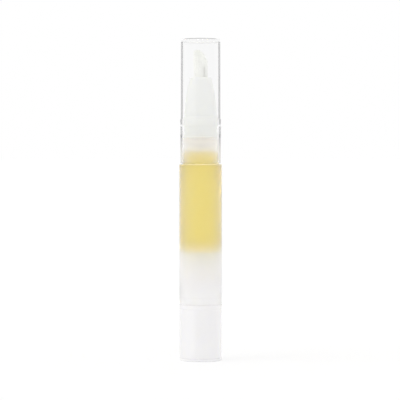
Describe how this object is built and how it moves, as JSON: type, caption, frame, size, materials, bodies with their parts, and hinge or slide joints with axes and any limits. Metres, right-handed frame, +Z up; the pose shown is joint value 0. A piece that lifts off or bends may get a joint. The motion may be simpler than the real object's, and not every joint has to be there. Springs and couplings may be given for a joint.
{
  "type": "twist-up oil pen",
  "caption": "Twist-up pen for nail oil, standing on its base: clear pull-off cap, brush tip in a white nozzle, see-through barrel of yellow oil, and a white knob that feeds it.",
  "frame": {"origin": "middle of the flat base that the pen stands on", "axes": "+Z up along the pen's axis, from the knob to the cap; +X to the right in the picture; -Y towards the viewer"},
  "size_m": [0.017, 0.017, 0.1284],
  "materials": {
    "barrel_plastic": "natural polypropylene, lightly hazy, glossy outside",
    "nozzle_plastic": "white polypropylene, satin",
    "seal_rubber": "soft white silicone",
    "inner_plastic": "white acetal, satin",
    "bristle_nylon": "fine pale nylon bristles",
    "cap_clear": "clear polystyrene, polished",
    "oil": "clear yellow oil",
    "piston_plastic": "soft translucent polyethylene",
    "white_plastic": "white polypropylene, glossy"
  },
  "bodies": {
    "barrel": {"barrel": "barrel_plastic", "nozzle": "nozzle_plastic", "neck_seal": "seal_rubber", "brush_ferrule": "nozzle_plastic", "feed_tube": "inner_plastic", "bristles": "bristle_nylon", "oil_fill": "oil", "housing": "white_plastic", "thread_nut": "inner_plastic", "ratchet_ring": "inner_plastic"},
    "cap": {"cap": "cap_clear"},
    "knob": {"knob": "white_plastic", "end_plug": "white_plastic", "drive_sleeve": "inner_plastic", "click_ring": "inner_plastic"},
    "rod": {"screw_rod": "inner_plastic", "swivel_tip": "inner_plastic"},
    "piston": {"piston": "piston_plastic"}
  },
  "joints": [
    {"name": "cap_lift", "type": "slide", "parent": "barrel", "child": "cap", "axis": [0, 0, 1], "range_m": [0, 0.05]},
    {"name": "knob_turn", "type": "hinge", "parent": "barrel", "child": "knob", "pos_m": [0, 0, 0], "axis": [0, 0, 1], "range_deg": [0, 5760], "deforming": ["click_ring"]},
    {"name": "rod_rise", "type": "slide", "parent": "knob", "child": "rod", "axis": [0, 0, 1], "range_m": [0, 0.032]},
    {"name": "piston_feed", "type": "slide", "parent": "barrel", "child": "piston", "axis": [0, 0, 1], "range_m": [0, 0.032], "deforming": ["oil_fill"]}
  ],
  "couplings": [
    {"joint": "rod_rise", "follows": "knob_turn", "m_per_rad": 0.00031831},
    {"joint": "piston_feed", "follows": "knob_turn", "m_per_rad": 0.00031831}
  ]
}
